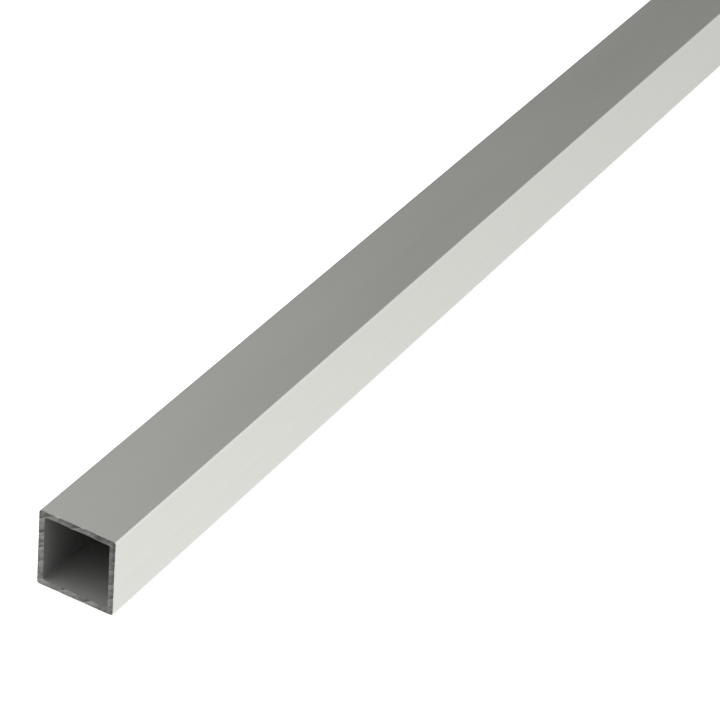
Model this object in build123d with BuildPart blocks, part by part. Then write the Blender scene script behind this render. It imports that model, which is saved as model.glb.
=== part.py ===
"""A straight length of square tube: extruded aluminium stock, anodised and sawn to a retail length.

The whole object is one piece of metal. Its section is a square ring of even wall, rounded very slightly
by the die along the four outer edges and in the four corners of the bore. Both ends are sawn off square
and left open, so the bore runs right through.

The tube lies on one of its sides. Units are millimetres. +X runs along the tube, +Z is up, and the origin
is the middle of the side that the tube lies on.
"""

import os

from build123d import *

# Sizes of the stock
tube_length = 1000.0  # between the two sawn ends
tube_side = 20.0  # across the outer flats, the same both ways
wall = 1.5  # even all round
outer_edge_radius = 0.5  # left by the die along each outer edge
inner_corner_radius = 0.4  # left by the die in each corner of the bore

# The bore is what the walls leave of the square
bore_side = tube_side - 2 * wall

# The section is drawn on the cut at the -X end, with its middle half a side above the floor
near_cut = Plane(
    origin=(-tube_length / 2, 0, tube_side / 2),
    x_dir=(0, 1, 0),
    z_dir=(1, 0, 0),
)

with BuildPart() as square_tube:
    # The section: the outer square, less the bore
    with BuildSketch(near_cut) as section:
        RectangleRounded(tube_side, tube_side, outer_edge_radius)
        RectangleRounded(bore_side, bore_side, inner_corner_radius, mode=Mode.SUBTRACT)
    # The extrusion, from one saw cut to the other
    extrude(amount=tube_length)

square_tube.part.label = "square_tube"

os.makedirs("parts", exist_ok=True)
export_step(square_tube.part, "parts/square_tube.step")

# What a buyer reads off the label of such stock
aluminium_density = 2.70e-6  # kg for each cubic millimetre
clear_bore = bore_side - 2 * inner_corner_radius * (1 - 0.5**0.5)
print(f"section {section.sketch.area:.2f} mm2, clear square bore {clear_bore:.2f} mm")
print(f"mass {square_tube.part.volume * aluminium_density:.3f} kg over {tube_length:.0f} mm")
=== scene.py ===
# %% [markdown]
# A length of square tube: satin anodised aluminium stock, one metre long, lying on one of its sides.
# The lesson dresses one plain extrusion. Its sides are almost featureless, so what makes it look real
# is small: the rounded arrises that the die leaves, the faint lines along the metal, and the two ends,
# where a saw has left its marks in bare metal. Everything is in metres and in the frame of the CAD
# model, with +X along the tube and the floor at Z = 0.

import math

import bmesh
import bpy
from mathutils import Euler, Matrix, Vector, noise


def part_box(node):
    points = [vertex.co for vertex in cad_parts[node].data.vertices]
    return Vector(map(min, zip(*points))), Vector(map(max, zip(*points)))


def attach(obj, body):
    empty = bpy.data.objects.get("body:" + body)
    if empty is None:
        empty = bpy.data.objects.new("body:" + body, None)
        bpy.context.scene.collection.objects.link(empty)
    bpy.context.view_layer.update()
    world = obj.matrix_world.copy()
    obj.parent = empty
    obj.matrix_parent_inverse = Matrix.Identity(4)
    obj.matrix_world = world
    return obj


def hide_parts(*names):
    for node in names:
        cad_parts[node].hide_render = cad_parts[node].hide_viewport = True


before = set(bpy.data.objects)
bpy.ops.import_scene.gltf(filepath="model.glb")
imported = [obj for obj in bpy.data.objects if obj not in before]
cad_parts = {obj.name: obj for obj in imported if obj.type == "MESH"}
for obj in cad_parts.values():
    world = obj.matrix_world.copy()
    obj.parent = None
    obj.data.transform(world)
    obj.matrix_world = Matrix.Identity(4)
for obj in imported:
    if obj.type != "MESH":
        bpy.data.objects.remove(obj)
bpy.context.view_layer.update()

# %% [markdown]
# The sizes come first. The length and the side are read from the CAD model, so they can't disagree
# with it. The wall and the two radii are the stock's own: a die can't cut a perfectly sharp corner, so
# the four outer arrises and the four corners of the bore are slightly round, and that narrow round is
# what catches the light between two flat sides.

# %% Name the sizes of the stock
mm = 0.001
tube_low, tube_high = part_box("square_tube")
near_cut_x, far_cut_x = tube_low[0], tube_high[0]
side = tube_high[2] - tube_low[2]
middle_z = (tube_high[2] + tube_low[2]) / 2
wall = 1.5 * mm
outer_edge_radius = 0.5 * mm
inner_corner_radius = 0.4 * mm
bore_side = side - 2 * wall
tube_length = far_cut_x - near_cut_x
print(f"side {side / mm:.2f} mm, bore {bore_side / mm:.2f} mm, length {tube_length / mm:.1f} mm")

# %% [markdown]
# The section is two closed loops, the outside and the bore. Each starts as one square face. A bevel of
# its four vertices rounds the corners, and the flats are then divided finely, because the sawn ends
# need about ten points to the millimetre to carry the marks of the saw. Both loops get the same number
# of points, so they bridge into a ring of clean quads. The other way would be a curve with a bevel
# object, but its ends can't be given marks.

# %% Draw the two loops of the section
flat_steps = 190
corner_steps = 6


def section_loop(mesh, loop_side, radius):
    """Adds one rounded square on the near cut, as edges without a face, and returns the edges."""
    there = set(mesh.edges)
    square = bmesh.ops.create_grid(mesh, x_segments=1, y_segments=1, size=loop_side / 2)
    bmesh.ops.bevel(
        mesh,
        geom=square["verts"],
        offset=radius,
        offset_type="OFFSET",
        affect="VERTICES",
        segments=corner_steps,
        profile=0.5,
        material=-1,
    )
    bmesh.ops.delete(mesh, geom=mesh.faces[:], context="FACES_ONLY")
    flats = [e for e in mesh.edges if e not in there and e.calc_length() > loop_side / 2]
    bmesh.ops.subdivide_edges(mesh, edges=flats, cuts=flat_steps - 1)
    loop = [e for e in mesh.edges if e not in there]
    points = list({v for e in loop for v in e.verts})
    bmesh.ops.rotate(mesh, verts=points, cent=(0, 0, 0), matrix=Matrix.Rotation(math.radians(90), 3, "Y"))
    bmesh.ops.translate(mesh, verts=points, vec=(near_cut_x, 0, middle_z))
    return loop


tube = bmesh.new()
outer_loop = section_loop(tube, side, outer_edge_radius)
inner_loop = section_loop(tube, bore_side, inner_corner_radius)
print(f"{len(outer_loop)} edges round the outside, {len(inner_loop)} round the bore")

# %% [markdown]
# The bridge between the loops is the sawn face. It is divided across the wall too, and then the whole
# face is extruded to the far cut, just as the press pushes the metal through the die. The extrusion
# keeps the face that it starts from, so the tube is closed at both cuts. A box with a smaller one taken
# out of it has the same walls, but its cuts are a few large faces, with nothing for the saw to mark.

# %% Bridge the loops and extrude the ring
wall_steps = 15

bmesh.ops.bridge_loops(tube, edges=outer_loop + inner_loop)
round_the_ring = set(outer_loop) | set(inner_loop)
across_the_wall = [e for e in tube.edges if e not in round_the_ring]
bmesh.ops.subdivide_edges(tube, edges=across_the_wall, cuts=wall_steps - 1, use_grid_fill=True)
grown = bmesh.ops.extrude_face_region(tube, geom=tube.faces[:])
far_points = [item for item in grown["geom"] if isinstance(item, bmesh.types.BMVert)]
bmesh.ops.translate(tube, verts=far_points, vec=(tube_length, 0, 0))
bmesh.ops.recalc_face_normals(tube, faces=tube.faces[:])
longest = max(e.calc_length() for e in across_the_wall if e.is_valid)
print(f"{len(tube.faces)} faces, ring steps up to {longest / mm:.3f} mm")

# %% [markdown]
# The long walls are now single strips from cut to cut. A few cross cuts close to each end give the
# edge of the sawn face something to bend, and a few along the rest keep the strips from being
# needles. Each is a plane that bisects the mesh, because a plane can stand at an exact distance from
# the cut, which a loop cut can't.

# %% Cut the walls across
cuts_from_each_end = (0.05 * mm, 0.1 * mm, 0.2 * mm, 0.35 * mm, 0.6 * mm, 2 * mm, 10 * mm)
long_pitch = 100 * mm
long_cuts = round(tube_length / long_pitch) - 1
weld = 1e-7


def cross_cut(mesh, x):
    """Divides every face that crosses the plane at x."""
    everything = mesh.verts[:] + mesh.edges[:] + mesh.faces[:]
    bmesh.ops.bisect_plane(mesh, geom=everything, dist=weld, plane_co=(x, 0, 0), plane_no=(1, 0, 0))


stations = [near_cut_x + step for step in cuts_from_each_end]
stations += [far_cut_x - step for step in cuts_from_each_end]
stations += [near_cut_x + long_pitch * (n + 1) for n in range(long_cuts)]
for station in stations:
    cross_cut(tube, station)
print(f"{len(stations)} cross cuts, {len(tube.faces)} faces")

# %% [markdown]
# The ends are sawn, and a saw leaves scallops: straight, shallow troughs with a sharp cusp between
# them, one for each push of the feed. In the photograph they rise to the right at thirty degrees, about
# 3.6 mm apart, though a hand-fed saw never keeps quite the same step. They are modelled, so each one
# catches the light just past its cusp and goes dark just before the next, and the finish of the ends
# adds a painted highlight and painted shade in the same places. The cusps lie in the plane of the cut,
# and all the rest is deeper, so the tube never grows past its length. Towards the upper front corner,
# where the blade ran out of the metal, they fade.

# %% Measure along and across the saw marks
saw_tilt = math.radians(30.06)
saw_cusps = [place * mm for place in (-15.3, -11.6, -8.2, -4.7, -1.4, 2.8, 6.2, 9.65, 13.3, 17.0)]
far_cut_shift = 1.3 * mm
fade_from, fade_over, fade_by = 6.5 * mm, 4 * mm, 0.75


def smooth_step(share):
    """Zero below 0, one above 1 and a smooth rise between them."""
    share = min(1.0, max(0.0, share))
    return share * share * (3 - 2 * share)


def down_the_cut(x, y, z):
    """How far a point of an end lies across the saw marks, from the middle of the section."""
    shift = far_cut_shift if x > 0 else 0
    return -y * math.sin(saw_tilt) - (z - middle_z) * math.cos(saw_tilt) + shift


def along_the_cut(y, z):
    """How far it lies along them."""
    return -y * math.cos(saw_tilt) + (z - middle_z) * math.sin(saw_tilt)


def trough_at(across):
    """How far a point has come from one cusp to the next, from 0 to 1."""
    before = max(cusp for cusp in saw_cusps if cusp <= across)
    after = min(cusp for cusp in saw_cusps if cusp > across)
    return (across - before) / (after - before)


def mark_strength(along):
    """How clearly the saw has marked the metal there."""
    return 1 - fade_by * smooth_step((along - fade_from) / fade_over)


troughs = len(saw_cusps) - 1
print(f"{troughs} troughs, each about {(saw_cusps[-1] - saw_cusps[0]) / mm / troughs:.2f} mm wide")

# %% [markdown]
# Two sizes of tearing go over the troughs: scratches drawn out along the marks, and a coarser mottle
# where whole grains of metal have been dragged. Both come from noise in the same two directions. A
# displacement modifier with a texture could do the same, but then nothing else could ask how deep a
# point lies.

# %% Work out how deep the saw goes
scallop_depth = 0.1 * mm
scallop_flatness = 4
scratch_depth, scratch_size = 0.018 * mm, 0.32 * mm
mottle_depth, mottle_size = 0.045 * mm, 0.8 * mm
tear_stretch = 2.6
end_seed = 5.1


def depth_below_sides(y, z):
    """How far a point lies inside the nearest outer side."""
    return side / 2 - max(abs(y), abs(z - middle_z))


def tearing(x, along, across, size):
    """Noise from 0 to 1, drawn out along the marks and different at the two ends."""
    which_end = math.copysign(end_seed, x)
    return 0.5 + 0.5 * noise.noise(Vector((which_end, along / (tear_stretch * size), across / size)))


def saw_recess(x, y, z):
    """How deep the saw has gone below the cusps at a point of an end."""
    across, along = down_the_cut(x, y, z), along_the_cut(y, z)
    hollow = 1 - abs(2 * trough_at(across) - 1) ** scallop_flatness
    scratch = tearing(x, along, across, scratch_size) * scratch_depth
    mottle = tearing(x, along, across, mottle_size) * mottle_depth
    return hollow * scallop_depth * mark_strength(along) + scratch + mottle


print(f"up to {(scallop_depth + scratch_depth + mottle_depth) / mm:.3f} mm deep")

# %% [markdown]
# The same marks decide how bright the ends are drawn. The metal is bright past a cusp and slowly duller
# towards the next one, and dark just before it: a painted highlight and painted shade over the troughs,
# which catch and lose the light by their shape as well. The ends are also a little brighter towards the
# floor, and duller on the outer half of the wall near the upper front corner, where the blade has
# smeared it. Dirt in hollows could be had from how deep a point lies, but this is no dirt, and the two
# slopes of a trough are equally deep.

# %% Work out how bright the ends are drawn, painted highlight and shade included
even_burnish = 0.525
painted_highlight_gain, painted_highlight_reach = 0.62, 0.33
painted_shade_loss, painted_shade_reach = 0.3, 0.13
patch_gain, scratch_share = 0.8, 0.7
floor_gain, floor_gain_from = 0.2, 0.1
smear_loss, outer_smear_loss = 0.16, 0.24
outer_half_from, outer_half_fall = 1.7, 2.4


def burnish_and_painted_light_at(x, y, z):
    """How bright a point of an end is drawn, 0 to 1, painted highlight and shade of its trough included.
    """
    across, along = down_the_cut(x, y, z), along_the_cut(y, z)
    trough, strength = trough_at(across), mark_strength(along)
    # Painted highlight just past each cusp, painted shade just before the next.
    past_cusp_painted_highlight = math.exp(-trough / painted_highlight_reach) * strength
    before_cusp_painted_shade = math.exp(-(((1 - trough) / painted_shade_reach) ** 2)) * strength
    mottle = tearing(x, along, across, mottle_size) - 0.5
    scratch = tearing(x, along, across, scratch_size) - 0.5
    patch = mottle + scratch * scratch_share
    to_upper_front = smooth_step((1 + (z - middle_z - y) / side) / 2)
    outer_half = smooth_step(outer_half_from - outer_half_fall * depth_below_sides(y, z) / wall + patch)
    to_the_floor = smooth_step((middle_z - z) / side - floor_gain_from)
    burnished_and_painted = even_burnish + painted_highlight_gain * past_cusp_painted_highlight - painted_shade_loss * before_cusp_painted_shade
    burnished_and_painted += patch_gain * patch + floor_gain * to_the_floor
    return burnished_and_painted - to_upper_front * (smear_loss + outer_smear_loss * outer_half)


in_upper_wall = burnish_and_painted_light_at(near_cut_x, 0, tube_high[2] - wall / 2)
print(f"burnish in the middle of the upper wall: {in_upper_wall:.2f}")

# %% [markdown]
# Now each point of the two cuts is pushed into the metal by its recess. Its brightness, painted
# highlight and shade included, is kept with it as an attribute, which the finish of the ends reads
# later. A pattern made again in the material could slip away from the troughs, and this one can't.

# %% Saw the ends
on_the_cut = 1e-6

burnish_and_painted_light = tube.verts.layers.float.new("burnish_and_painted_light")
deepest = 0.0
cut_points = [v for v in tube.verts if min(v.co.x - near_cut_x, far_cut_x - v.co.x) < on_the_cut]
for point in cut_points:
    point[burnish_and_painted_light] = min(1.0, max(0.0, burnish_and_painted_light_at(*point.co)))
    recess = saw_recess(*point.co)
    deepest = max(deepest, recess)
    point.co.x += recess if point.co.x < 0 else -recess
print(f"{len(cut_points)} points sawn, deepest {deepest / mm:.3f} mm")

# %% [markdown]
# Where the saw leaves the metal it breaks the edge: most of it stays sharp, and here and there a fleck
# is torn away. The near end has four of them along its upper edge, and they glint. A bevel would break
# the edge evenly, which no saw does, so the points near the edge are pushed in at forty-five degrees,
# further where there is a fleck. The short cross cuts made above let the side of the tube follow. Each
# fleck is given by its end, its place on the edge, its width and its reach, in millimetres.

# %% Break the outer edge of each cut
edge_break = 0.03 * mm
near, far = -1, 1
flecks = (
    (near, 7.8, 20, 0.14, 0.35),
    (near, 5.3, 20, 0.24, 0.75),
    (near, -1.3, 20, 0.12, 0.6),
    (near, -5.7, 20, 0.1, 0.5),
    (far, -7.4, 20, 0.2, 0.6),
    (far, 2.1, 20, 0.12, 0.5),
    (far, 10, 13.2, 0.16, 0.7),
    (far, -10, 6.1, 0.12, 0.5),
)
widest_fleck = max(width for end, y, z, width, reach in flecks) * mm


def break_width(x, y, z):
    """The width of the broken edge at a point of it."""
    torn = 0.0
    for end, fleck_y, fleck_z, width, reach in flecks:
        if x * end > 0:
            away = math.hypot(y / mm - fleck_y, z / mm - fleck_z) / reach
            torn = max(torn, width * mm * (1 - smooth_step(away)))
    return edge_break + torn


broken = 0
for point in tube.verts:
    x, y, z = point.co
    inward = depth_below_sides(y, z)
    from_cut = min(x - near_cut_x, far_cut_x - x)
    if max(inward, from_cut) > widest_fleck + edge_break:
        continue
    push = (break_width(x, y, z) - inward - from_cut) / 2
    if push <= 0:
        continue
    broken += 1
    point.co.x += push if x < 0 else -push
    if abs(y) > abs(z - middle_z):
        point.co.y -= math.copysign(push, y)
    else:
        point.co.z -= math.copysign(push, z - middle_z)
print(f"{broken} points of the edges broken, {len(flecks)} flecks")

# %% [markdown]
# The mesh gets three finishes: the outside, the bore and the sawn ends. Three objects could wear one
# each, but the real tube is one piece, so each face gets a number by where it lies. Edges that turn
# sharply are marked sharp, so the light breaks there, and all the rest is shaded smooth, which rounds
# the arrises although they have only six steps.

# %% Sort the faces and mark the sharp edges
outside_finish, bore_finish, sawn_finish = range(3)
sharp_turn = math.radians(32)
faces_the_end = 0.55


def finish_of(face):
    """Which of the three finishes a face wears."""
    if abs(face.normal.x) > faces_the_end:
        return sawn_finish
    middle = face.calc_center_median()
    return outside_finish if depth_below_sides(middle.y, middle.z) < wall / 2 else bore_finish


tube.normal_update()
for face in tube.faces:
    face.smooth = True
    face.material_index = finish_of(face)
for edge in tube.edges:
    beside_it = {face.material_index for face in edge.link_faces}
    edge_of_cut = sawn_finish in beside_it and len(beside_it) > 1
    edge.smooth = edge.calc_face_angle(0.0) < sharp_turn and not edge_of_cut
finishes = (outside_finish, bore_finish, sawn_finish)
counts = [sum(face.material_index == finish for face in tube.faces) for finish in finishes]
closed = all(len(e.link_faces) == 2 for e in tube.edges)
print("outside, bore, sawn:", counts, "closed:", closed)

# %% [markdown]
# Patterns are drawn by place, not on a map, but the finishes are baked onto a map when the model is
# exported. An automatic map would give a metre of plain side all the room and the sawn ends almost
# none. So the tube is unrolled part by part: its walls as one long strip below, and the two ends large
# and side by side above.

# %% Lay out the map
map_of_tube = tube.loops.layers.uv.new("OFBake")
gutter = 0.006
end_size = 0.434
far_end_from = 0.5
walls_share = 1 - end_size - 3 * gutter
outer_share = walls_share * side / (side + bore_side)
inner_share = walls_share - outer_share - gutter
middle_of_arris = math.radians(45)


def round_the_section(face, y, z, half, radius):
    """How far round the section a corner of a face lies, from the lower back arris, as a share of it.

    Each quarter runs from the middle of one arris to the middle of the next.
    """
    reach = half - radius * (1 - math.cos(middle_of_arris))
    normal = face.normal
    z -= middle_z
    if abs(normal.y) > abs(normal.z):
        quarter, run = (0, z) if normal.y > 0 else (2, -z)
    else:
        quarter, run = (1, -y) if normal.z > 0 else (3, y)
    return (quarter + 0.5 + run / (2 * reach)) / 4


def place_on_map(face, corner):
    """Where on the map a corner of a face goes."""
    x, y, z = corner.vert.co
    if face.material_index == sawn_finish:
        across = (y + side / 2) / side
        left = gutter + across * end_size if x < 0 else gutter + far_end_from + (1 - across) * end_size
        return (left, 1 - gutter - end_size + z / side * end_size)
    along = gutter + (1 - 2 * gutter) * (x - near_cut_x) / tube_length
    if face.material_index == outside_finish:
        turn = round_the_section(face, y, z, side / 2, outer_edge_radius)
        return (along, gutter + outer_share * turn)
    turn = round_the_section(face, y, z, bore_side / 2, inner_corner_radius)
    return (along, 2 * gutter + outer_share + inner_share * turn)


for face in tube.faces:
    for corner in face.loops:
        corner[map_of_tube].uv = place_on_map(face, corner)
print("map laid out over", len(tube.faces), "faces")

# %% [markdown]
# The mesh goes into one object that stays at the origin, because its place is already in its points.
# It rides on the only body there is and stands for the CAD solid, which stays behind for collisions.
# The solid itself could have been dressed, but its ends are flat and its faces too large to be sawn.

# %% Make the object
tube_mesh = bpy.data.meshes.new("square_tube_sawn")
tube.to_mesh(tube_mesh)
tube.free()
square_tube = bpy.data.objects.new("square_tube_sawn", tube_mesh)
bpy.context.scene.collection.objects.link(square_tube)
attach(square_tube, "root")
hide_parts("square_tube")
print("square_tube_sawn:", len(tube_mesh.vertices), "vertices")

# %% [markdown]
# A finish is a tree of nodes, and its sums are easier to read written out. A Wire is the output of a
# node, and a plus or a minus written on it adds the Math node that works it out, or a Vector Math node
# where the output is a vector. Noise is taken less 0.5 where it should move a value both ways. Every
# other node comes from Sheet.node, which is given the kind of node, its settings, and what goes into
# its sockets. The same trees could be drawn by hand in the shader editor, where each sum is a box.


# %% Write shaders as sums
class Wire:
    """One output of a node."""

    def __init__(self, socket):
        self.socket = socket

    def worked(self, operation, first, second):
        kind = "ShaderNodeVectorMath" if self.socket.type == "VECTOR" else "ShaderNodeMath"
        return Sheet(self.socket.id_data).node(kind, {"operation": operation}, {0: first, 1: second})

    def __add__(self, other):
        return self.worked("ADD", self, other)

    __radd__ = __add__

    def __sub__(self, other):
        return self.worked("SUBTRACT", self, other)

    def __rsub__(self, other):
        return self.worked("SUBTRACT", other, self)

    def __mul__(self, other):
        return self.worked("MULTIPLY", self, other)

    __rmul__ = __mul__

    def __truediv__(self, other):
        return self.worked("DIVIDE", self, other)

    def __rtruediv__(self, other):
        return self.worked("DIVIDE", other, self)

    def __pow__(self, other):
        return self.worked("POWER", self, other)

    def __rpow__(self, other):
        return self.worked("POWER", other, self)


class Sheet:
    """A node tree, and the one way in which nodes come onto it."""

    def __init__(self, tree):
        self.tree = tree

    def node(self, kind, settings=None, sockets=None, out=0):
        made = self.tree.nodes.new(kind)
        for name, value in (settings or {}).items():
            setattr(made, name, value)
        for name, value in (sockets or {}).items():
            if isinstance(value, Wire):
                self.tree.links.new(value.socket, made.inputs[name])
            else:
                made.inputs[name].default_value = value
        return Wire(made.outputs[out]) if made.outputs else made

    def blend(self, mask, first, second):
        """A colour between two colours."""
        return self.node("ShaderNodeMix", {"data_type": "RGBA"}, {0: mask, 6: first, 7: second}, 2)

    def dot(self, first, second):
        """The dot product of two vectors, a number."""
        return self.node("ShaderNodeVectorMath", {"operation": "DOT_PRODUCT"}, {0: first, 1: second}, 1)

    def cloud(self, where, scale, detail=2.0, turn=(0, 0, 0)):
        """Noise, as fine along each axis as scale says, in patches to the metre."""
        placed = self.node("ShaderNodeMapping", {}, {"Vector": where, "Rotation": turn, "Scale": scale})
        noise_sockets = {"Vector": placed, "Scale": 1.0, "Detail": detail}
        return self.node("ShaderNodeTexNoise", {}, noise_sockets, "Fac")

    def relief(self, height, depth):
        """Relief on the surface, where height 1 stands depth metres above height 0."""
        bump_sockets = {"Strength": 1.0, "Distance": depth, "Height": height}
        return self.node("ShaderNodeBump", {}, bump_sockets)


def new_finish(name):
    """An empty material, its sheet and the place on the object that its patterns go by."""
    material = bpy.data.materials.new(name)
    material.use_nodes = True
    material.node_tree.nodes.clear()
    sheet = Sheet(material.node_tree)
    return material, sheet, sheet.node("ShaderNodeTexCoord", {}, {}, "Object")


def metal(sheet, colour, roughness, normal):
    """Ends a sheet with bare or anodised metal."""
    looks = {"Base Color": colour, "Metallic": 1.0, "Roughness": roughness, "Normal": normal}
    shader = sheet.node("ShaderNodeBsdfPrincipled", {}, looks)
    sheet.node("ShaderNodeOutputMaterial", {}, {"Surface": shader})


# %% [markdown]
# The outside is etched to a satin and then anodised in its natural colour, so it is a grey metal with
# a wide, soft gloss and a trace of warmth. The die draws faint lines along the tube. An anisotropic
# gloss would draw the light out the same way but would show no single line, so they come from noise
# that is stretched along X until its patches are a quarter of a metre long and a quarter of a
# millimetre wide. The same lines move the gloss, the tone and the relief a little, since all three have
# one cause on the real metal. The arrises are a little smoother than the flats, because they rub on
# everything, and paler, which is a painted highlight along them. The mask for them is how far a point
# lies out of the middle, both ways added up, which only a corner can bring near to a whole side.

# %% Make the satin anodised finish
satin_tone_low = (0.565, 0.565, 0.535, 1)
satin_tone_high = (0.635, 0.635, 0.6, 1)
satin_gloss = 0.4
fine_line_scale = (4, 3800, 3800)
broad_line_scale = (1.3, 420, 420)
cloud_scale = (9, 60, 60)
line_detail = 3
line_relief = 0.0000025

tone_by_lines, tone_by_broad_lines, tone_by_clouds = 0.3, 0.35, 0.35
gloss_by_lines, gloss_by_clouds = 0.05, 0.06
relief_by_broad_lines = 0.6

arris_from, arris_over = 19.3 * mm, 0.35 * mm
arris_painted_highlight, arris_gloss = 0.9, 0.06

satin, sheet, place = new_finish("satin_anodised_outside")
from_middle = place - (0, 0, middle_z)
out_of_middle = sheet.node("ShaderNodeVectorMath", {"operation": "ABSOLUTE"}, {0: from_middle})
both_ways = sheet.dot(out_of_middle, (0, 1, 1))
on_arris = sheet.node("ShaderNodeClamp", {}, {"Value": (both_ways - arris_from) / arris_over})
fine_lines = sheet.cloud(place, fine_line_scale, line_detail)
broad_lines = sheet.cloud(place, broad_line_scale)
clouds = sheet.cloud(place, cloud_scale)
tone = fine_lines * tone_by_lines + broad_lines * tone_by_broad_lines + clouds * tone_by_clouds
gloss = satin_gloss + (fine_lines - 0.5) * gloss_by_lines + (clouds - 0.5) * gloss_by_clouds
lines = sheet.relief(fine_lines + broad_lines * relief_by_broad_lines, line_relief)
# The arrises are drawn paler: a painted highlight along them.
colour = sheet.blend(tone + on_arris * arris_painted_highlight, satin_tone_low, satin_tone_high)
metal(sheet, colour, gloss - on_arris * arris_gloss, lines)
print("outside:", len(satin.node_tree.nodes), "nodes")

# %% [markdown]
# The bore has the same anodising over a surface that the die's core leaves rougher, and nothing
# polishes it afterwards. So it could share the outside's finish, but it gets its own, with deeper lines
# and a wider gloss, and no paler corners. Its tone is darker than the outside's, which is painted shade
# over the whole bore. How dark it grows inwards is left to the light, which has to find its way in.

# %% Make the finish of the bore
# Darker than the outside's tones: painted shade over the whole bore.
bore_tone_and_painted_shade_low = (0.46, 0.456, 0.452, 1)
bore_tone_and_painted_shade_high = (0.545, 0.54, 0.536, 1)
bore_gloss = 0.8
bore_gloss_by_lines = 0.1
bore_relief = 0.000005

in_bore, sheet, place = new_finish("anodised_bore")
fine_lines = sheet.cloud(place, fine_line_scale, line_detail)
broad_lines = sheet.cloud(place, broad_line_scale)
gloss = bore_gloss + (fine_lines - 0.5) * bore_gloss_by_lines
height = fine_lines + broad_lines
colour = sheet.blend(height / 2, bore_tone_and_painted_shade_low, bore_tone_and_painted_shade_high)
metal(sheet, colour, gloss, sheet.relief(height, bore_relief))
print("bore:", len(in_bore.node_tree.nodes), "nodes")

# %% [markdown]
# The ends are bare metal, cut after the anodising. How bright the saw left them, with a painted
# highlight past each cusp and painted shade before the next, was worked out with their shape and comes
# here as an attribute. Streaks along the marks break it up. They are finer than the mesh, so they could
# only be modelled with many times the points, and come from noise instead. Bright metal is smoother
# too, so the same attribute moves the gloss.

# %% Make the sawn finish
sawn_tone_low = (0.165, 0.163, 0.155, 1)
sawn_tone_high = (0.65, 0.643, 0.615, 1)
sawn_gloss = 0.5
tooth_scale = (300, 320, 2600)
tooth_detail = 3
tooth_relief = 0.00001
tone_by_teeth, gloss_by_teeth, gloss_by_burnish = 0.35, 0.12, 0.08

sawn, sheet, place = new_finish("sawn_end")
# The attribute holds the saw's burnish together with painted highlight and shade.
burnished_and_painted = sheet.node("ShaderNodeAttribute", {"attribute_name": "burnish_and_painted_light"}, {}, "Fac")
teeth = sheet.cloud(place, tooth_scale, tooth_detail, (-saw_tilt, 0, 0))
brightness = burnished_and_painted + (teeth - 0.5) * tone_by_teeth
gloss = sawn_gloss - burnished_and_painted * gloss_by_burnish + (teeth - 0.5) * gloss_by_teeth
colour = sheet.blend(brightness, sawn_tone_low, sawn_tone_high)
metal(sheet, colour, gloss, sheet.relief(teeth, tooth_relief))
print("sawn ends:", len(sawn.node_tree.nodes), "nodes")

# %% [markdown]
# The three finishes go onto the mesh in the order of the numbers that its faces were given. Nothing
# has to be assigned face by face.

# %% Dress the object
for finish in (satin, in_bore, sawn):
    tube_mesh.materials.append(finish)
print("finishes:", [finish.name for finish in tube_mesh.materials])

# %% [markdown]
# The stage is a pale, slightly glowing paper under a wide lamp, so it comes out white with no edge or
# hard shadow. A white backdrop that curves up behind would do as well, but the metal would mirror it.
# Here the floor lets reflected rays through, and the tube shows the studio's cards instead.

# %% Lay the floor
floor_half = 30.0
floor_drop = 0.00005
floor_tone = (0.9, 0.9, 0.895, 1)
floor_glow = 0.35

floor_build = bmesh.new()
bmesh.ops.create_grid(floor_build, x_segments=1, y_segments=1, size=floor_half)
bmesh.ops.translate(floor_build, verts=floor_build.verts[:], vec=(0, 0, -floor_drop))
floor_mesh = bpy.data.meshes.new("floor")
floor_build.to_mesh(floor_mesh)
floor_build.free()
floor = bpy.data.objects.new("floor", floor_mesh)
bpy.context.scene.collection.objects.link(floor)
floor.visible_glossy = False
floor.visible_shadow = False

paper, sheet, place = new_finish("pale_floor")
looks = {"Base Color": floor_tone, "Roughness": 1.0}
looks |= {"Emission Color": floor_tone, "Emission Strength": floor_glow}
shader = sheet.node("ShaderNodeBsdfPrincipled", {}, looks)
sheet.node("ShaderNodeOutputMaterial", {}, {"Surface": shader})
floor_mesh.materials.append(paper)
print("floor laid at", -floor_drop)

# %% [markdown]
# Metal shows what it reflects, so the light on the tube is laid out by direction, as soft cards with
# no edges. A white one low in front makes the bright side, and one above the front lights the arris.
# Those above give the upper side its slow fall along the tube and shine into the mouth of the bore, a
# fill keeps the back from being lost, and a black flag beyond the far end takes light away, so its
# strength is negative. Each is given by its direction, how narrow it is and how strong. Little stands
# behind the camera, which keeps the sawn end dark. Area lamps could stand in the same places, but each
# would have to be kept out of every view. The lamp lights the paper alone: it isn't reflected, or the
# upper side would glare when it is seen from above.

# %% Light the studio
light_all_round = 0.08
cards = {
    "white_card_in_front": ((0.35, -0.6, -0.72), 3, 1.46),
    "card_above_the_front": ((0.35, -0.8, 0.45), 4, 1.47),
    "card_above_the_back": ((0, 0.55, 0.83), 4, 1.18),
    "card_above_the_near_end": ((-0.4, 0.35, 0.85), 4, 1.04),
    "card_below_the_near_end": ((-0.74, 0.38, -0.56), 3, 0.32),
    "fill_behind": ((0, 0.95, -0.25), 4, 0.6),
    "black_flag_beyond": ((0.97, -0.2, -0.15), 16, -0.2),
}

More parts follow.
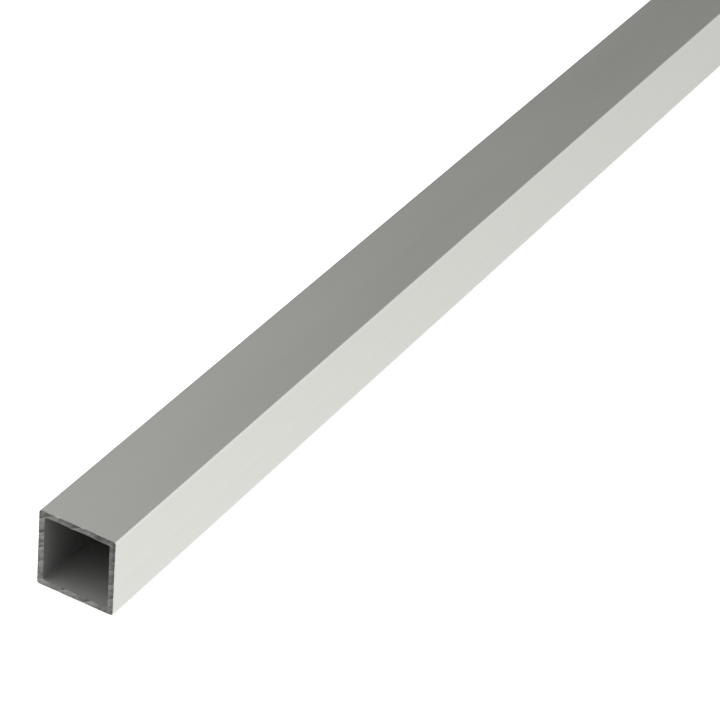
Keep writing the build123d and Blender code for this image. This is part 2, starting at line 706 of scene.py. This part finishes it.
studio = bpy.data.worlds.new("soft_studio")
studio.use_nodes = True
studio.node_tree.nodes.clear()
sheet = Sheet(studio.node_tree)
towards = sheet.node("ShaderNodeTexCoord", {}, {}, "Generated")
glow = light_all_round
for direction, narrowness, strength in cards.values():
    facing = sheet.dot(towards, Vector(direction).normalized())
    facing = sheet.node("ShaderNodeMath", {"operation": "MAXIMUM"}, {0: facing, 1: 0.0})
    glow = facing**narrowness * strength + glow
shader = sheet.node("ShaderNodeBackground", {}, {"Color": (1, 1, 1, 1), "Strength": glow})
sheet.node("ShaderNodeOutputWorld", {}, {"Surface": shader})
bpy.context.scene.world = studio

overhead_strength = 1.27
overhead_spread = math.radians(60)
overhead = bpy.data.lights.new("overhead", "SUN")
overhead.energy = overhead_strength
overhead.angle = overhead_spread
overhead_lamp = bpy.data.objects.new("overhead", overhead)
overhead_lamp.visible_glossy = False
bpy.context.scene.collection.objects.link(overhead_lamp)
print(len(cards), "cards and one lamp")

# %% [markdown]
# The camera stands where the photographer's did. Its place and lens were found by fitting the tube's
# edges to the photograph, and the picture leans a little, which the roll repeats. A lens chosen by eye
# could show the end at the right size, but then the sides would close in too fast or too slowly.

# %% Place the camera
camera_place = (-0.964348, -0.302945, 0.440705)
camera_azimuth = math.radians(-62.808)
camera_elevation = math.radians(33.881)
camera_roll = math.radians(5.683)
camera_lens, sensor_width = 160.1, 36
nearest_seen, farthest_seen = 0.01, 200

camera_data = bpy.data.cameras.new("camera")
camera_data.lens = camera_lens
camera_data.sensor_width = sensor_width
camera_data.clip_start = nearest_seen
camera_data.clip_end = farthest_seen
camera = bpy.data.objects.new("camera", camera_data)
turn = Euler((math.radians(90) - camera_elevation, 0, camera_azimuth)).to_matrix().to_4x4()
camera.matrix_world = Matrix.Translation(camera_place) @ turn @ Matrix.Rotation(camera_roll, 4, "Z")
bpy.context.scene.collection.objects.link(camera)
bpy.context.scene.camera = camera
bpy.context.scene.view_settings.view_transform = "Standard"
print("camera at", camera_place)
